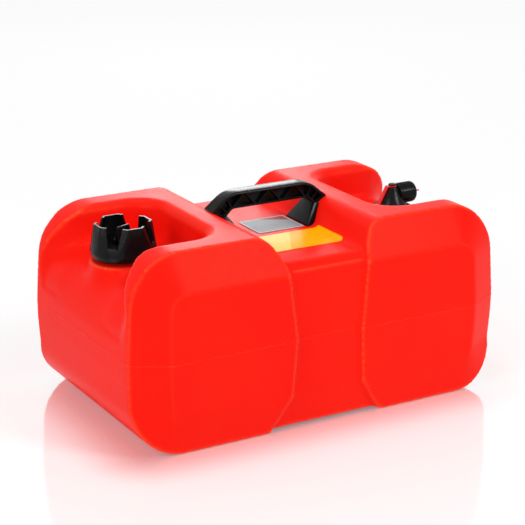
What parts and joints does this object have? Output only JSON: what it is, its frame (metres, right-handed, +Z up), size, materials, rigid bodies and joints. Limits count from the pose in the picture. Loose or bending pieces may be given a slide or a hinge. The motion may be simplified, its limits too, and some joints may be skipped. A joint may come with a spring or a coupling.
{
  "type": "portable fuel tank",
  "caption": "Red portable fuel tank with a black carry handle in a valley across its top, a vented screw cap at one end and a fuel outlet at the other.",
  "frame": {"origin": "on the ground under the middle of the tank", "axes": "+X along the tank's length, from the filler cap to the fuel outlet; +Y across it; +Z up"},
  "size_m": [0.5318, 0.326, 0.2705],
  "materials": {
    "red_plastic": "satin gloss blow-moulded polyethylene",
    "black_plastic": "satin injection moulding",
    "black_rubber": "matt",
    "red_strap": "glossy soft vinyl",
    "brass": "turned",
    "steel": "bright",
    "white_nylon": "natural nylon",
    "silver_film": "satin film",
    "yellow_film": "satin film"
  },
  "bodies": {
    "tank": {"tank_shell": "red_plastic", "carry_handle": "black_plastic", "silver_label": "silver_film", "yellow_label": "yellow_film", "pickup_elbow": "black_plastic", "pickup_ring_nut": "black_plastic", "pickup_gasket": "black_rubber", "outlet_nipple": "brass", "plug_strap": "red_strap", "dip_tube": "white_nylon", "tube_clamp": "steel", "strainer_cup": "black_plastic", "strainer_screen": "steel", "check_spring": "steel"},
    "gasket": {"cap_gasket": "black_rubber"},
    "cap": {"cap_crown": "black_plastic", "cap_insert": "white_nylon"},
    "washer": {"vent_washer": "black_rubber"},
    "vent": {"vent_knob": "black_plastic", "vent_retaining_clip": "steel"},
    "sleeve": {"outlet_sleeve": "black_plastic"},
    "plug": {"dust_plug": "red_strap"},
    "ball": {"check_ball": "steel"}
  },
  "joints": [
    {"name": "cap_rise", "type": "slide", "parent": "tank", "child": "gasket", "axis": [0, 0, 1], "range_m": [0, 0.018]},
    {"name": "cap_turn", "type": "hinge", "parent": "gasket", "child": "cap", "pos_m": [-0.203, 0, 0.2085], "axis": [0, 0, 1], "range_deg": [0, 1080]},
    {"name": "vent_rise", "type": "slide", "parent": "cap", "child": "washer", "axis": [0, 0, 1], "range_m": [0, 0.003]},
    {"name": "vent_turn", "type": "hinge", "parent": "washer", "child": "vent", "pos_m": [-0.203, 0, 0.2285], "axis": [0, 0, 1], "range_deg": [0, 540]},
    {"name": "sleeve_turn", "type": "hinge", "parent": "tank", "child": "sleeve", "pos_m": [0.2012, 0, 0.2318], "axis": [1, 0, 0], "continuous": true},
    {"name": "plug_pull", "type": "slide", "parent": "tank", "child": "plug", "axis": [1, 0, 0], "range_m": [0, 0.03]},
    {"name": "ball_travel", "type": "slide", "parent": "tank", "child": "ball", "axis": [1, 0, 0], "range_m": [0, 0.0012], "stiffness_N_per_m": 150, "springref_m": -0.002, "deforming": ["check_spring"]}
  ],
  "couplings": [
    {"joint": "cap_rise", "follows": "cap_turn", "m_per_rad": 0.00095493},
    {"joint": "vent_rise", "follows": "vent_turn", "m_per_rad": 0.00031831}
  ]
}
